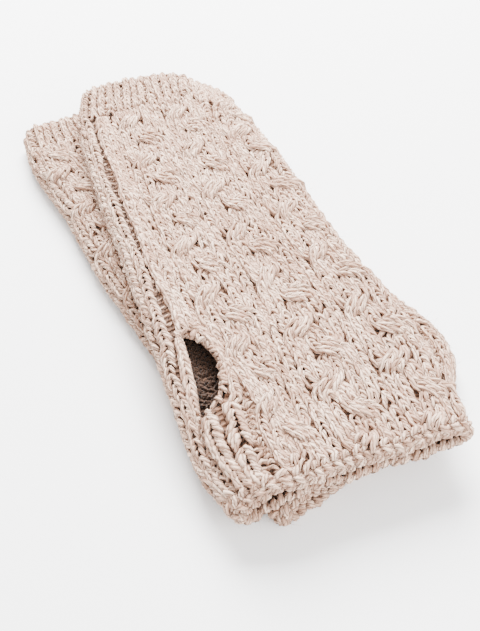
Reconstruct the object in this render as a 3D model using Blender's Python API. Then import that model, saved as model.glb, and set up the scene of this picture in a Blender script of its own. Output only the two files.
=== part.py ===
# A pair of long fingerless mittens in cable knit, one lying on the other.
# Each mitten is a flattened tube: cabled back, plain palm, ribbed wrist cuff,
# bound-off finger edge and the edge stitches of a thumb slit.
# Lengths in the sizes below are in millimetres; the meshes are in metres.
import math

import bmesh
import bpy
import numpy as np

MM = 0.001

WALL = 3.0                 # knitted wall, without the relief
HALF_THICK = 6.5           # half of a flattened tube, outside to middle
MID = HALF_THICK - WALL / 2
SEAM_GAP = 0.3             # between neighbouring pieces
WALES = 52                 # knit columns round the tube
WALE_WIDTH = 4.25
REPEAT = 33.0              # length of one plait repeat
CROSS_LENGTH = 14.0        # length over which two strands cross
CROSS_FIRST = 20.0         # middle of the first right-hand crossing
STRAND_RISE = 0.9          # a strand above the ground of the knit
OVER_RISE = 0.7            # extra rise where a strand passes over
UNDER_DROP = 0.9
GUTTER_DROP = 1.0          # narrow purl gutters beside the knit columns
SEAM_DROP = 0.8
PLAITS = (-4.5, 2.5, 9.5)  # middles of the plaits, in wales from the top middle
SEAM_LEFT = -10.5          # wales, dark gutter on the thumb side
SEAM_RIGHT = 17.0          # wales, gutter on the little-finger side
RIBS = 40                  # ribs round the cuff
RIB_RISE = 0.7
CHAIN_LENGTH = 5.4         # finger edge, along the mitten
CHAIN_BULGE = 1.5          # finger edge, out from the wall
CHAIN_LINKS = 48
THUMB_FROM, THUMB_TO = 45.0, 86.0
THUMB_HALF = 5.5           # half of the open slit
THUMB_SHIFT = 7.5          # the slit leans towards the back
THUMB_RIM = 2.8            # width of the edge stitches
PILE_RISE = 15.0           # how far the upper mitten lies above the floor
DROP_RUN = 32.0            # length in which it sinks to the floor
DROP_INSET = 6.0
LOWER_AT = (17.3, 12.6)    # middle of the lower mitten's finger edge
LOWER_TURN = 10.8          # degrees, seen from above
LOWER_LEAN = 0.12          # its finger edge isn't quite square to its length
SHIFT = (5.20, -133.57)    # puts the origin under the middle of the pile

PLAN_HEADS = ("along", "left", "right")
UPPER_PLAN = (
    (0.0, -53.0, 50.0),
    (14.0, -58.0, 52.0),
    (60.0, -58.5, 52.0),
    (85.0, -57.5, 50.0),
    (110.0, -57.0, 45.5),
    (140.0, -56.5, 42.5),
    (200.0, -55.5, 40.5),
    (244.0, -52.0, 40.5),
    (276.0, -43.0, 40.0),
)
LOWER_PLAN = (
    (0.0, -53.0, 44.0),
    (10.0, -54.5, 54.0),
    (22.5, -55.5, 59.5),
    (41.5, -56.0, 60.5),
    (60.5, -56.5, 57.0),
    (106.5, -57.0, 52.0),
    (141.5, -57.5, 50.0),
    (201.5, -54.0, 47.0),
    (240.5, -54.0, 42.0),
    (274.5, -46.5, 38.0),
)
CUFF_HEADS = ("rib_middle", "rib_slant", "end_middle", "end_slant", "end_round")
CUFFS = {
    "upper": (249.0, 5.0, 272.0, -4.0, 4.0),
    "lower": (242.5, -4.0, 264.5, -6.0, 2.0),
}


def smooth(u):
    u = np.clip(u, 0.0, 1.0)
    return u * u * (3.0 - 2.0 * u)


def from_table(rows, head, at):
    """Smooth value of a named column at a place along the mitten."""
    k = PLAN_HEADS.index(head)
    xs = np.array([row[0] for row in rows])
    ys = np.array([row[k] for row in rows])
    slopes = np.gradient(ys, xs)
    at = np.clip(np.asarray(at, float), xs[0], xs[-1])
    i = np.clip(np.searchsorted(xs, at) - 1, 0, len(xs) - 2)
    step = xs[i + 1] - xs[i]
    u = (at - xs[i]) / step
    return ((2 * u**3 - 3 * u**2 + 1) * ys[i] + (u**3 - 2 * u**2 + u) * step * slopes[i]
            + (3 * u**2 - 2 * u**3) * ys[i + 1] + (u**3 - u**2) * step * slopes[i + 1])


def section(plan, wale, along, out):
    """Point of the flattened tube: across and up, measured from its middle plane."""
    left = from_table(plan, "left", along)
    right = from_table(plan, "right", along)
    flat = right - left - 2 * HALF_THICK
    arc = math.pi * MID
    girth = 2 * flat + 2 * arc
    p = np.mod(wale / WALES, 1.0) * girth
    middle = (left + right) / 2
    a_right = (p - flat / 2) / MID
    a_left = (p - 1.5 * flat - arc) / MID
    cases = [p < flat / 2, p < flat / 2 + arc, p < 1.5 * flat + arc, p < 1.5 * flat + 2 * arc]
    x = np.select(cases, [middle + p,
                          right - HALF_THICK + MID * np.sin(a_right),
                          right - HALF_THICK - (p - flat / 2 - arc),
                          left + HALF_THICK - MID * np.sin(a_left)],
                  left + HALF_THICK + (p - 1.5 * flat - 2 * arc))
    z = np.select(cases, [MID + 0 * p, MID * np.cos(a_right), -MID + 0 * p, -MID * np.cos(a_left)], MID + 0 * p)
    nx = np.select(cases, [0 * p, np.sin(a_right), 0 * p, -np.sin(a_left)], 0 * p)
    nz = np.select(cases, [1 + 0 * p, np.cos(a_right), -1 + 0 * p, -np.cos(a_left)], 1 + 0 * p)
    return x + nx * out, z + nz * out


def pile_height(x, y):
    """Height of the upper mitten's underside over the lower mitten and the floor."""
    turn = math.radians(LOWER_TURN)
    dx, dy = x - LOWER_AT[0], y - LOWER_AT[1]
    across = dx * math.cos(turn) + dy * math.sin(turn)
    along = -dx * math.sin(turn) + dy * math.cos(turn)
    left = from_table(LOWER_PLAN, "left", along) + DROP_INSET
    right = from_table(LOWER_PLAN, "right", along) - DROP_INSET
    beyond = np.maximum(left - across, across - right)
    return PILE_RISE * (1.0 - smooth(beyond / DROP_RUN))


def drape(across, up, along):
    """Bend the flat tube over the pile, keeping its width."""
    steps = 60
    x = np.zeros_like(across)
    step = across / steps
    for _ in range(steps):
        slope = (pile_height(x + 0.5, along) - pile_height(x - 0.5, along))
        x = x + step / np.sqrt(1.0 + slope * slope)
    slope = pile_height(x + 0.5, along) - pile_height(x - 0.5, along)
    length = np.sqrt(1.0 + slope * slope)
    return x - up * slope / length, HALF_THICK + pile_height(x, along) + up / length


def place(mitten, wale, along, out):
    """World point in metres of a place on the tube."""
    wale, along, out = np.broadcast_arrays(np.asarray(wale, float), np.asarray(along, float), np.asarray(out, float))
    if mitten == "upper":
        across, up = section(UPPER_PLAN, wale, along, out)
        x, z = drape(across, up, along)
        y = along
    else:
        # the mate is the mirror image, with its thumb slit on the other side
        mirrored = tuple((row[0], -row[2], -row[1]) for row in LOWER_PLAN)
        across, up = section(mirrored, wale, along, out)
        across = -across
        along = along + LOWER_LEAN * across * (1.0 - smooth(along / 70.0))
        turn = math.radians(LOWER_TURN)
        x = LOWER_AT[0] + across * math.cos(turn) - along * math.sin(turn)
        y = LOWER_AT[1] + across * math.sin(turn) + along * math.cos(turn)
        z = HALF_THICK + up
    z = np.maximum(z, 0.0)
    return np.stack([x + SHIFT[0], y + SHIFT[1], z], axis=-1) * MM


def row_lean(wale, along):
    """The rows climb a little towards the little-finger side."""
    return 0.9 * np.clip(wale - 2.5, -2.0, 9.0) * smooth((along - 5) / 100) * smooth((270 - along) / 80)


def relief(wale, along):
    """Height of plaits, knit columns and gutters above the plain wall."""
    high = np.full(np.broadcast(wale, along).shape, -0.2)
    t = along - CROSS_FIRST - row_lean(wale, along)
    phase_a = np.mod(t / REPEAT + 0.5, 1.0) - 0.5
    phase_b = np.mod(t / REPEAT, 1.0) - 0.5
    ua = np.clip(phase_a * REPEAT / CROSS_LENGTH + 0.5, 0, 1)
    ub = np.clip(phase_b * REPEAT / CROSS_LENGTH + 0.5, 0, 1)
    on_a = np.sin(math.pi * ua)
    on_b = np.sin(math.pi * ub)
    near_a = np.abs(phase_a) < 0.25
    for middle in PLAITS:
        d = wale - middle
        strands = (
            (np.where(near_a, 2 * (1 - smooth(ua)), 2.0), np.where(near_a, OVER_RISE * on_a, 0.0)),
            (np.where(near_a, 2 * smooth(ua), -2 * (1 - smooth(ub))),
             np.where(near_a, -UNDER_DROP * on_a, OVER_RISE * on_b)),
            (np.where(near_a, -2.0, -2 * smooth(ub)), np.where(near_a, 0.0, -UNDER_DROP * on_b)),
        )
        for at, level in strands:
            inside = np.abs(d - at) < 1.1
            bump = level + STRAND_RISE * np.sqrt(np.clip(1 - ((d - at) / 1.1) ** 2, 0, 1))
            high = np.where(inside, np.maximum(high, bump), high)
    for middle in (-9.4, 15.5):
        high = np.maximum(high, 0.6 - 0.5 * (wale - middle) ** 2)
    for gutter in (-8.0, 14.0):
        high = high - GUTTER_DROP * np.exp(-((wale - gutter) / 0.55) ** 2)
    for seam in (SEAM_LEFT, SEAM_RIGHT):
        high = high - SEAM_DROP * np.exp(-((wale - seam) / 0.5) ** 2)
    # plain where the panel turns under
    return np.clip(high, -1.1, 1.6) * (1.0 - smooth((wale - 13.2) / 1.4))


def thumb_sides(along, side):
    """Wale of the panel's edge beside the thumb slit; side is +1 for the back, -1 for the palm."""
    v = (along - (THUMB_FROM - THUMB_RIM)) / (THUMB_TO - THUMB_FROM + 2 * THUMB_RIM)
    open_here = np.sin(math.pi * np.clip(v, 0, 1))
    half = (THUMB_HALF + THUMB_RIM + 0.3) * open_here**0.9
    return SEAM_LEFT + (side * (SEAM_GAP / 2 + half) + THUMB_SHIFT * open_here) / WALE_WIDTH


def cuff_line(mitten, wale, which):
    sizes = dict(zip(CUFF_HEADS, CUFFS[mitten]))
    side = np.sin(2 * math.pi * np.asarray(wale, float) / WALES) * (1 if mitten == "upper" else -1)
    if which == "rib":
        return sizes["rib_middle"] + sizes["rib_slant"] * side
    return sizes["end_middle"] + sizes["end_slant"] * side - sizes["end_round"] * side**2


def add_material(obj, name, colour, roughness):
    mat = bpy.data.materials.new(name)
    mat.use_nodes = True
    shader = mat.node_tree.nodes["Principled BSDF"]
    shader.inputs["Base Color"].default_value = (*colour, 1.0)
    shader.inputs["Roughness"].default_value = roughness
    shader.inputs["Metallic"].default_value = 0.0
    obj.data.materials.append(mat)


def keep(bm, name, colour, collection):
    bmesh.ops.recalc_face_normals(bm, faces=bm.faces)
    if bm.calc_volume(signed=True) < 0:
        bmesh.ops.reverse_faces(bm, faces=bm.faces)
    bmesh.ops.triangulate(bm, faces=bm.faces, quad_method="SHORT_EDGE")
    mesh = bpy.data.meshes.new(name)
    bm.to_mesh(mesh)
    bm.free()
    mesh.shade_smooth()
    obj = bpy.data.objects.new(name, mesh)
    collection.objects.link(obj)
    add_material(obj, name + "_wool", colour, 0.95)
    return obj


def grid_sheet(bm, points):
    """Lay a grid primitive on an array of points (rows, columns, 3); returns its corners' chains."""
    rows, cols = points.shape[:2]
    made = bmesh.ops.create_grid(bm, x_segments=cols - 1, y_segments=rows - 1, size=1.0)
    verts = sorted(made["verts"], key=lambda v: (round(v.co.y * (rows - 1)), round(v.co.x * (cols - 1))))
    table = [verts[r * cols:(r + 1) * cols] for r in range(rows)]
    for r in range(rows):
        for c in range(cols):
            table[r][c].co = points[r, c]
    return table


def join_chains(bm, one, one_at, two, two_at):
    """Close the rim between two chains of unlike counts, each with its places along the rim."""
    i = j = 0
    while i < len(one) - 1 or j < len(two) - 1:
        if j == len(two) - 1 or (i < len(one) - 1 and one_at[i + 1] <= two_at[j + 1] + 1e-9):
            bm.faces.new((one[i], one[i + 1], two[j]))
            i += 1
        else:
            bm.faces.new((one[i], two[j + 1], two[j]))
            j += 1


def seam_rows(mitten):
    """Fractions of the length at which both panels share their seam points."""
    start = CHAIN_LENGTH / 2 + SEAM_GAP + 0.6
    end = float(cuff_line(mitten, SEAM_LEFT, "rib")) - SEAM_GAP
    tip_low, tip_high = THUMB_FROM - THUMB_RIM, THUMB_TO + THUMB_RIM
    slit = [tip_low + (tip_high - tip_low) * k for k in (0, 0.05, 0.15, 0.3, 0.5, 0.7, 0.85, 0.95, 1)]
    wrist = np.linspace(tip_high, end, 9)[1:]
    return (np.array([start, start + 12.0, start + 24.0, *slit, *wrist]) - start) / (end - start)


def panel(name, mitten, colour, collection, outer_cols, outer_rows, inner_cols, edges, with_relief):
    """A knitted panel: fine outer points with the relief over a plain inside."""
    low, high = edges
    first = SEAM_LEFT if with_relief else SEAM_RIGHT
    last = SEAM_RIGHT if with_relief else SEAM_LEFT + WALES
    shared = seam_rows(mitten)

    def sheet(cols, rows, inside):
        u, v = np.meshgrid(cols, rows)
        wale = first + (last - first) * u
        start = CHAIN_LENGTH / 2 + SEAM_GAP + 0.6
        along = start + (cuff_line(mitten, wale, "rib") - SEAM_GAP - start) * v
        pull_low = np.clip(1 - (wale - first) / 7.0, 0, 1) ** 2
        pull_high = np.clip(1 - (last - wale) / 7.0, 0, 1) ** 2
        moved = wale + (low(along) - first) * pull_low + (high(along) - last) * pull_high
        out = np.full(moved.shape, -WALL / 2)
        if not inside:
            out = -out
            if with_relief:
                rim = np.minimum(u, 1 - u) * (last - first) / 0.7
                out = out + relief(moved, along) * np.clip(rim, 0, 1)
        return place(mitten, moved, along, out)

    def outer_sheet():
        points = sheet(outer_cols, outer_rows, False)
        for column in (0, -1):
            coarse = sheet(outer_cols[[column]], shared, False)[:, 0]
            for axis in range(3):
                points[:, column, axis] = np.interp(outer_rows, shared, coarse[:, axis])
        return points

    bm = bmesh.new()
    outer = grid_sheet(bm, outer_sheet())
    inner = grid_sheet(bm, sheet(inner_cols, shared, True))
    for row in (0, -1):
        join_chains(bm, outer[row], outer_cols, inner[row], inner_cols)
    for column in (0, -1):
        join_chains(bm, [row[column] for row in outer], outer_rows, [row[column] for row in inner], shared)
    return keep(bm, name, colour, collection)


def ring_solid(name, colour, collection, around, across, point):
    """A closed ring from a torus primitive whose points are set by a rule."""
    bpy.ops.mesh.primitive_torus_add(major_segments=around, minor_segments=across, major_radius=1.0, minor_radius=0.3)
    base = bpy.context.active_object
    bm = bmesh.new()
    bm.from_mesh(base.data)
    bpy.data.objects.remove(base)
    bm.verts.ensure_lookup_table()
    for i in range(around):
        ring = point(i)
        for j in range(across):
            bm.verts[i * across + j].co = ring[j]
    return keep(bm, name, colour, collection)


def cuff(mitten, colour, collection):
    count = RIBS * 2

    def point(i):
        wale = WALES * i / count
        start = cuff_line(mitten, wale, "rib") + SEAM_GAP / 2
        end = cuff_line(mitten, wale, "end")
        rise = RIB_RISE if i % 2 == 0 else -RIB_RISE
        under = smooth((abs((wale % WALES) - WALES / 2) - 12.5) / 2.0)
        rise = rise * float(under)
        rows = ((start, WALL / 2 + 0.3 * rise), ((start + end) / 2, WALL / 2 + rise),
                (end - 0.8, WALL / 2 + rise), (end, 0.2), (end - 0.8, -WALL / 2),
                (start, -WALL / 2))
        return [place(mitten, wale, along, out) for along, out in rows]

    return ring_solid(mitten + "_cuff", colour, collection, count, 6, point)


def finger_edge(mitten, colour, collection, sides):
    count = CHAIN_LINKS * 2

    def point(i):
        wale = WALES * i / count
        on_top = 0.5 + 0.5 * math.cos(2 * math.pi * wale / WALES)
        on_top = float(smooth(on_top * 1.6 - 0.2))
        bead = 1.0 if i % 2 == 0 else 0.55
        outer = WALL / 2 + CHAIN_BULGE * bead * on_top
        inner = -WALL / 2 - 0.4
        middle, half = (outer + inner) / 2, (outer - inner) / 2
        ring = []
        for j in range(sides):
            a = 2 * math.pi * (j + 0.5) / sides
            along = CHAIN_LENGTH / 2 * (1 if math.cos(a) > 0 else 0.88 + 0.12 * bead) * math.cos(a)
            ring.append(place(mitten, wale, along, middle + half * math.sin(a) * 1.1))
        return ring

    return ring_solid(mitten + "_finger_edge", colour, collection, count, sides, point)


def thumb_edge(mitten, colour, collection, around):
    length = (THUMB_TO - THUMB_FROM) / 2
    middle = (THUMB_TO + THUMB_FROM) / 2

    def point(i):
        a = 2 * math.pi * i / around

        def loop(grow):
            along = middle - (length + grow) * math.cos(a)
            v = (along - (THUMB_FROM - grow)) / (2 * (length + grow))
            open_here = math.sin(math.pi * min(max(v, 0), 1))
            half = (THUMB_HALF + grow) * open_here**0.9
            side = 1 if math.sin(a) >= 0 else -1
            return SEAM_LEFT + (side * half + THUMB_SHIFT * open_here) / WALE_WIDTH, along

        profile = ((0.0, 0.0), (0.7, 1.0), (THUMB_RIM - 0.6, 0.9), (THUMB_RIM - 0.35, -0.1),
                   (THUMB_RIM - 0.7, -1.0), (0.7, -1.0))
        ring = []
        for grow, out in profile:
            wale, along = loop(grow)
            ring.append(place(mitten, wale, along, out * (WALL / 2 + 0.25)))
        return ring

    return ring_solid(mitten + "_thumb_edge", colour, collection, around, 6, point)


def clear_scene():
    for obj in list(bpy.data.objects):
        bpy.data.objects.remove(obj, do_unlink=True)


def main():
    clear_scene()
    parts = bpy.data.collections.new("fingerless_mittens")
    bpy.context.scene.collection.children.link(parts)
    straight = lambda value: (lambda along: value + 0 * along)
    counts = {"upper": (38, 58, 11, 13), "lower": (27, 44, 5, 7)}
    for mitten, wool in (("upper", (0.62, 0.50, 0.43)), ("lower", (0.56, 0.45, 0.39))):
        cols, rows, back_cols, palm_cols = counts[mitten]
        # columns of the plain surfaces crowd at the folds
        inner = np.concatenate([np.linspace(0, 0.77, back_cols, endpoint=False), np.linspace(0.77, 0.915, 7), [1.0]])
        palm = np.concatenate([np.linspace(0, 0.83, palm_cols, endpoint=False), np.linspace(0.83, 1.0, 9)])
        panel(mitten + "_back", mitten, wool, parts, np.linspace(0, 1, cols), np.linspace(0, 1, rows), inner,
              (lambda along: thumb_sides(along, 1), straight(SEAM_RIGHT - 0.035)), True)
        panel(mitten + "_palm", mitten, wool, parts, palm, seam_rows(mitten), palm,
              (straight(SEAM_RIGHT + 0.035), lambda along: thumb_sides(along, -1) + WALES), False)
        cuff(mitten, wool, parts)
        finger_edge(mitten, wool, parts, 6 if mitten == "upper" else 5)
        thumb_edge(mitten, wool, parts, 30)


main()
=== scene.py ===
import math

import bpy
import numpy as np
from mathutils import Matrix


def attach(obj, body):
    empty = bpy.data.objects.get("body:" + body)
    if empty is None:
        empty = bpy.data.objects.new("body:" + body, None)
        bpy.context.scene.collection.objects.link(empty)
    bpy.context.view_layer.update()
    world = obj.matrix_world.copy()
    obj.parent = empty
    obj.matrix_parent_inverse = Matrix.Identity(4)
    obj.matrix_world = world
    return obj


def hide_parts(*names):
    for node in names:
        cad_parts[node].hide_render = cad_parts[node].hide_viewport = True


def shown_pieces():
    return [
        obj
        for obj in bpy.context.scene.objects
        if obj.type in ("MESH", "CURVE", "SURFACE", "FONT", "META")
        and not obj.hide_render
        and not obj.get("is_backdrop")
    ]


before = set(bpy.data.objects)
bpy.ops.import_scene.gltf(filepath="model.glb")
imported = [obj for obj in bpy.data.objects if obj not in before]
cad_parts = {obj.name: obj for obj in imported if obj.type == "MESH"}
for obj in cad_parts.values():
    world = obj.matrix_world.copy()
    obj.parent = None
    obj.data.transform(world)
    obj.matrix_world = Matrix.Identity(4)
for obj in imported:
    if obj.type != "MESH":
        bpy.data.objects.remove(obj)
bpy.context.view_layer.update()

mm = 0.001

tube = {
    "wall": 3.0,             # thickness of the knit without its relief
    "halfThick": 6.5,        # half of a flattened mitten
    "wales": 52,             # knit columns round it
    "waleWidth": 4.25,
    "rowHeight": 2.75,
    "seamLeft": -10.5,       # dark gutter on the thumb side, in wales from the top middle
    "seamRight": 17.0,
    "seamGap": 0.3,
    "firstRow": 3.6,         # where the panels start, from the finger end
}
tube["middle"] = tube["halfThick"] - tube["wall"] / 2
plait = {
    "middles": (-4.5, 2.5, 9.5),   # wales
    "repeat": 33.0,
    "crossLength": 14.0,
    "crossFirst": 20.0,
    "strandRise": 0.9,
    "strandHalf": 1.1,             # wales
    "overRise": 0.7,
    "underDrop": 0.9,
}
slit = {"start": 42.5, "end": 82.5, "half": 5.4, "shift": 7.4, "rim": 1.9, "round": 0.45, "flat": 0.35}
pile = {"rise": 15.0, "run": 32.0, "inset": 6.0, "at": (17.3, 12.6), "turn": 10.8, "lean": 0.12,
        "shift": (5.20, -133.57)}
planHeads = ("along", "left", "right")
upperPlan = ((0.0, -53.0, 50.0), (14.0, -58.0, 52.0), (60.0, -58.5, 52.0), (85.0, -57.5, 50.0),
             (110.0, -57.0, 45.5), (140.0, -56.5, 42.5), (200.0, -55.5, 40.5), (244.0, -52.0, 40.5),
             (276.0, -43.0, 40.0))
lowerPlan = ((0.0, -53.0, 44.0), (10.0, -54.5, 54.0), (22.5, -55.5, 59.5), (41.5, -56.0, 60.5),
             (60.5, -56.5, 57.0), (106.5, -57.0, 52.0), (141.5, -57.5, 50.0), (201.5, -54.0, 47.0),
             (240.5, -54.0, 42.0), (274.5, -46.5, 38.0))
cuffs = {
    "upper": {"ribMiddle": 249.0, "ribSlant": 5.0, "endMiddle": 272.0, "endSlant": -4.0, "endRound": 4.0},
    "lower": {"ribMiddle": 242.5, "ribSlant": -4.0, "endMiddle": 264.5, "endSlant": -6.0, "endRound": 2.0},
}
chance = np.random.default_rng(7)


def smooth(u):
    u = np.clip(u, 0.0, 1.0)
    return u * u * (3.0 - 2.0 * u)


def fromTable(rows, head, at):
    k = planHeads.index(head)
    xs = np.array([row[0] for row in rows])
    ys = np.array([row[k] for row in rows])
    slopes = np.gradient(ys, xs)
    at = np.clip(np.asarray(at, float), xs[0], xs[-1])
    i = np.clip(np.searchsorted(xs, at) - 1, 0, len(xs) - 2)
    step = xs[i + 1] - xs[i]
    u = (at - xs[i]) / step
    return ((2 * u**3 - 3 * u**2 + 1) * ys[i] + (u**3 - 2 * u**2 + u) * step * slopes[i]
            + (3 * u**2 - 2 * u**3) * ys[i + 1] + (u**3 - u**2) * step * slopes[i + 1])


def section(plan, wale, along, out):
    # the flattened tube: a flat top and bottom joined by two round folds
    left = fromTable(plan, "left", along)
    right = fromTable(plan, "right", along)
    bend = tube["middle"]
    flat = right - left - 2 * tube["halfThick"]
    arc = math.pi * bend
    p = np.mod(wale / tube["wales"], 1.0) * (2 * flat + 2 * arc)
    middle = (left + right) / 2
    rightTurn = (p - flat / 2) / bend
    leftTurn = (p - 1.5 * flat - arc) / bend
    cases = [p < flat / 2, p < flat / 2 + arc, p < 1.5 * flat + arc, p < 1.5 * flat + 2 * arc]
    x = np.select(cases, [middle + p,
                          right - tube["halfThick"] + bend * np.sin(rightTurn),
                          right - tube["halfThick"] - (p - flat / 2 - arc),
                          left + tube["halfThick"] - bend * np.sin(leftTurn)],
                  left + tube["halfThick"] + (p - 1.5 * flat - 2 * arc))
    z = np.select(cases, [bend + 0 * p, bend * np.cos(rightTurn), -bend + 0 * p, -bend * np.cos(leftTurn)],
                  bend + 0 * p)
    nx = np.select(cases, [0 * p, np.sin(rightTurn), 0 * p, -np.sin(leftTurn)], 0 * p)
    nz = np.select(cases, [1 + 0 * p, np.cos(rightTurn), -1 + 0 * p, -np.cos(leftTurn)], 1 + 0 * p)
    return x + nx * out, z + nz * out


def pileHeight(x, y):
    turn = math.radians(pile["turn"])
    dx = x - pile["at"][0]
    dy = y - pile["at"][1]
    across = dx * math.cos(turn) + dy * math.sin(turn)
    along = -dx * math.sin(turn) + dy * math.cos(turn)
    left = fromTable(lowerPlan, "left", along) + pile["inset"]
    right = fromTable(lowerPlan, "right", along) - pile["inset"]
    beyond = np.maximum(left - across, across - right)
    return pile["rise"] * (1.0 - smooth(beyond / pile["run"]))


def drape(across, up, along):
    # bends the flat tube over the pile and keeps its width
    steps = 60
    x = np.zeros_like(across)
    step = across / steps
    for _ in range(steps):
        slope = pileHeight(x + 0.5, along) - pileHeight(x - 0.5, along)
        x = x + step / np.sqrt(1.0 + slope * slope)
    slope = pileHeight(x + 0.5, along) - pileHeight(x - 0.5, along)
    length = np.sqrt(1.0 + slope * slope)
    return x - up * slope / length, tube["halfThick"] + pileHeight(x, along) + up / length


def clothPoint(mitten, wale, along, out):
    # a place on the knit, in metres: wale round the tube, along it, and out from its middle wall
    wale, along, out = np.broadcast_arrays(np.asarray(wale, float), np.asarray(along, float),
                                           np.asarray(out, float))
    if mitten == "upper":
        across, up = section(upperPlan, wale, along, out)
        x, z = drape(across, up, along)
        y = along
    else:
        mirrored = tuple((row[0], -row[2], -row[1]) for row in lowerPlan)
        across, up = section(mirrored, wale, along, out)
        across = -across
        along = along + pile["lean"] * across * (1.0 - smooth(along / 70.0))
        turn = math.radians(pile["turn"])
        x = pile["at"][0] + across * math.cos(turn) - along * math.sin(turn)
        y = pile["at"][1] + across * math.sin(turn) + along * math.cos(turn)
        z = tube["halfThick"] + up
    z = np.maximum(z, 0.0)
    return np.stack([x + pile["shift"][0], y + pile["shift"][1], z], axis=-1) * mm


slant = {"perWale": 0.9, "middle": 2.5, "least": -2.0, "most": 9.0,
         "from": 5.0, "rising": 100.0, "to": 270.0, "falling": 80.0}


def rowLean(wale, along):
    # rows lie nearer to the wrist at the right of the back, and a little nearer to the fingers at its left
    most = slant["perWale"] * np.clip(wale - slant["middle"], slant["least"], slant["most"])
    return (most * smooth((along - slant["from"]) / slant["rising"])
            * smooth((slant["to"] - along) / slant["falling"]))


# a crossing of the yarn; the cloth's own is longer and rises less
crossing = {"length": 10.0, "over": 1.45, "under": 0.9, "lift": 0.8}     # lift is a share of strandRise


def crossings(t, length=plait["crossLength"]):
    # how far each of the two crossings of a plait has gone at a place along it
    phaseA = np.mod(t / plait["repeat"] + 0.5, 1.0) - 0.5
    phaseB = np.mod(t / plait["repeat"], 1.0) - 0.5
    grow = plait["repeat"] / length
    return phaseA, phaseB, grow


def byCrossing(phaseA, onFirst, onSecond):
    # the first crossing has one half of each repeat and the second has the other
    return np.where(np.abs(phaseA) < 0.25, onFirst, onSecond)


def strandPlaces(phaseA, ua, ub):
    # each strand's wales from the plait's middle, and its level: 1 over and -1 under another strand
    onA, onB = np.sin(math.pi * ua), np.sin(math.pi * ub)
    return ((byCrossing(phaseA, 2 * (1 - smooth(ua)), 2.0), byCrossing(phaseA, onA, 0.0)),
            (byCrossing(phaseA, 2 * smooth(ua), -2 * (1 - smooth(ub))), byCrossing(phaseA, -onA, onB)),
            (byCrossing(phaseA, -2.0, -2 * smooth(ub)), byCrossing(phaseA, 0.0, -onB)))


# places and widths in wales
surface = {"flat": -0.2, "columns": (-9.4, 15.5), "columnRise": 0.6, "columnFall": 0.5,
           "gutters": (-8.0, 14.0), "gutterWidth": 0.55, "seamDepth": 0.8, "seamWidth": 0.5,
           "lowest": -1.1, "highest": 1.6}


def relief(wale, along):
    # how high the cloth of the back stands: plaits, side columns, gutters and seams
    high = np.full(np.broadcast(wale, along).shape, surface["flat"])
    phaseA, phaseB, grow = crossings(along - plait["crossFirst"] - rowLean(wale, along))
    ua = np.clip(phaseA * grow + 0.5, 0, 1)
    ub = np.clip(phaseB * grow + 0.5, 0, 1)
    for middle in plait["middles"]:
        for at, level in strandPlaces(phaseA, ua, ub):
            away = np.abs(wale - middle - at)
            bump = (np.where(level > 0, plait["overRise"], plait["underDrop"]) * level
                    + plait["strandRise"] * np.sqrt(np.clip(1 - (away / plait["strandHalf"]) ** 2, 0, 1)))
            high = np.where(away < plait["strandHalf"], np.maximum(high, bump), high)
    for middle in surface["columns"]:
        high = np.maximum(high, surface["columnRise"] - surface["columnFall"] * (wale - middle) ** 2)
    for gutter in surface["gutters"]:
        high = high - np.exp(-((wale - gutter) / surface["gutterWidth"]) ** 2)
    for seam in (tube["seamLeft"], tube["seamRight"]):
        high = high - surface["seamDepth"] * np.exp(-((wale - seam) / surface["seamWidth"]) ** 2)
    return np.clip(high, surface["lowest"], surface["highest"])


def slitOpening(along, grow):
    # how far the slit's half width and its shift have come at a place along it
    v = (along - (slit["start"] - grow)) / (slit["end"] - slit["start"] + 2 * grow)
    return np.sin(math.pi * np.clip(v, 0, 1))


def thumbSide(along, side, grow=slit["rim"]):
    # the wale at which a side of the slit lies: side is 1 towards the back and -1 towards the palm
    openHere = slitOpening(along, grow)
    half = (slit["half"] + grow) * openHere**slit["round"]
    return tube["seamLeft"] + (side * half + slit["shift"] * openHere**slit["flat"]) / tube["waleWidth"]


give = {
    "reach": 7.0,                              # wales at each side of the slit that move for it
    "driftFull": 2.5, "driftFrom": -7.0, "driftFade": 5.0,
    "drift": ((0.0, 0.5), (6.0, 0.65), (17.0, 0.95), (31.0, 1.3), (40.0, 1.35), (50.0, 0.4), (60.0, 0.0)),
}


def pulled(wale, along):
    # columns near the thumb slit give way to it, and in front of it they drift towards the back
    first = tube["seamLeft"]
    last = first + tube["wales"]
    w = np.mod(wale - first, tube["wales"]) + first
    back = np.clip(1 - (w - first) / give["reach"], 0, 1) ** 2 * (thumbSide(along, 1) - first)
    palm = np.clip(1 - (last - w) / give["reach"], 0, 1) ** 2 * (thumbSide(along, -1) - first)
    drift = (np.interp(along, *zip(*give["drift"])) * smooth((w - first) / give["driftFull"])
             * (1 - smooth((w - give["driftFrom"]) / give["driftFade"])))
    return w + back + palm + drift


# size of each wave, its millimetres to a radian, its radians to a wale and its start
uneven = {
    "sway": ((0.10, 7.3, 1.9, 0.0), (0.09, 17.0, -0.8, 1.0)),     # sizes in wales
    "creep": ((0.55, 23.0, 0.9, 0.0), (0.4, -11.0, 2.3, 0.0)),
}


def waves(which, wale, along):
    return sum(size * np.sin(along / run + turn * wale + start) for size, run, turn, start in uneven[which])


def wander(wale, along):
    # hand knitting isn't even: columns sway and rows creep a little
    return wale + waves("sway", wale, along), along + waves("creep", wale, along)


def cuffLine(mitten, wale, which):
    sizes = cuffs[mitten]
    side = np.sin(2 * math.pi * np.asarray(wale, float) / tube["wales"]) * (1 if mitten == "upper" else -1)
    if which == "rib":
        return sizes["ribMiddle"] + sizes["ribSlant"] * side
    return sizes["endMiddle"] + sizes["endSlant"] * side - sizes["endRound"] * side**2


# Materials

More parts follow.
